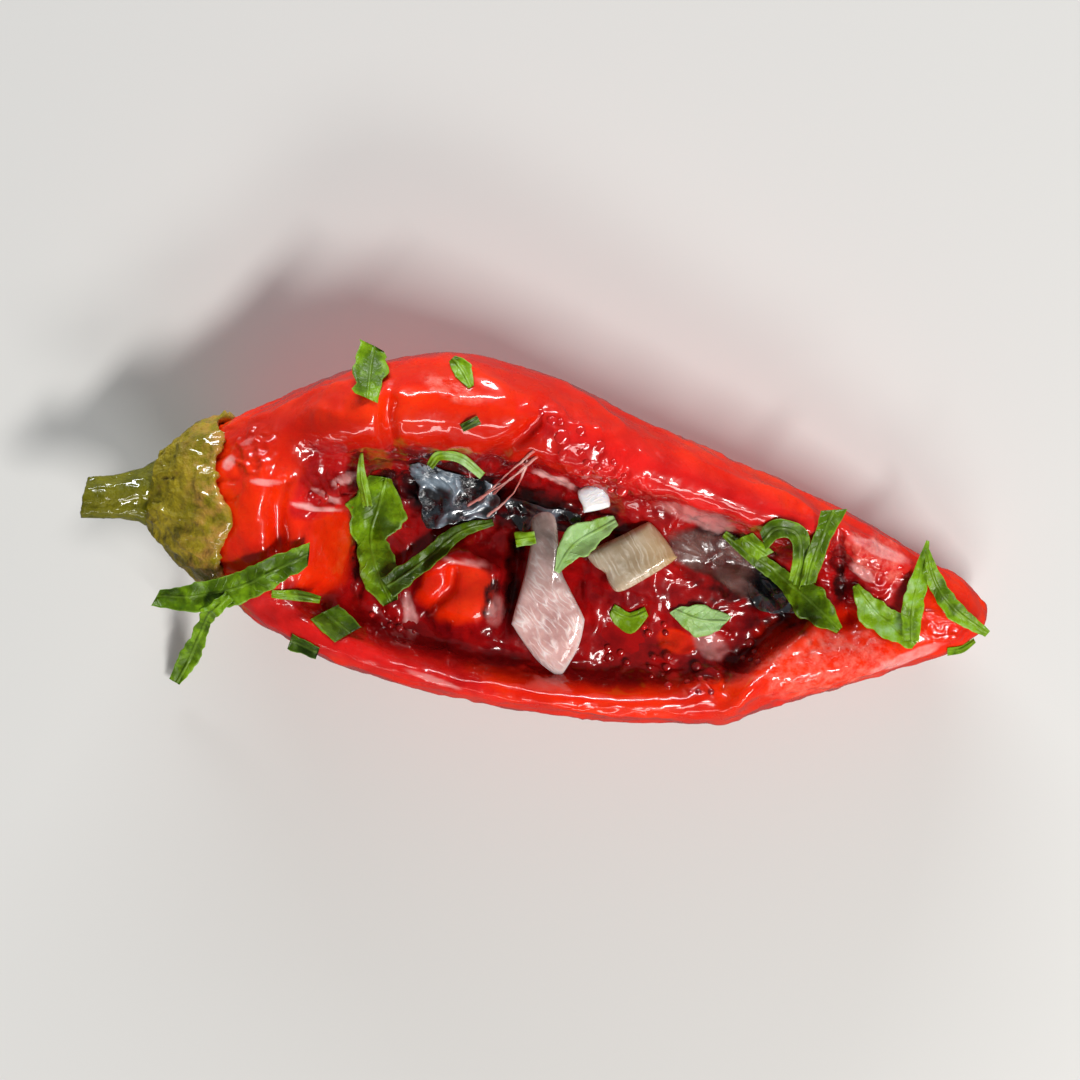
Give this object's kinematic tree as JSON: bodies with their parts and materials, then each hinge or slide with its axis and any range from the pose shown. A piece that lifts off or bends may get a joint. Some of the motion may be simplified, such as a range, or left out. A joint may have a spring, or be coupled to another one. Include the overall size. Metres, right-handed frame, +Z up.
{
  "type": "roasted pepper",
  "caption": "Roasted mini sweet pepper, slumped, with a sunken scorched top, green stalk and pieces of cooked onion lying on it.",
  "frame": {"origin": "below the middle of the whole object, on the surface that it rests on", "axes": "+X from the stalk towards the tip, +Y towards the broad shoulder, +Z up out of the sunken top"},
  "size_m": [0.0948, 0.0354, 0.0215],
  "materials": {
    "flesh": "oily roasted skin, scorched in the sunken top",
    "stalk": "soft cooked green, lightly oiled",
    "onion": "translucent, wet",
    "herb": "fresh chopped leaf"
  },
  "bodies": {
    "root": {"pepper_flesh": "flesh", "stalk": "stalk", "onion_petal": "onion", "onion_square": "onion"}
  },
  "joints": []
}
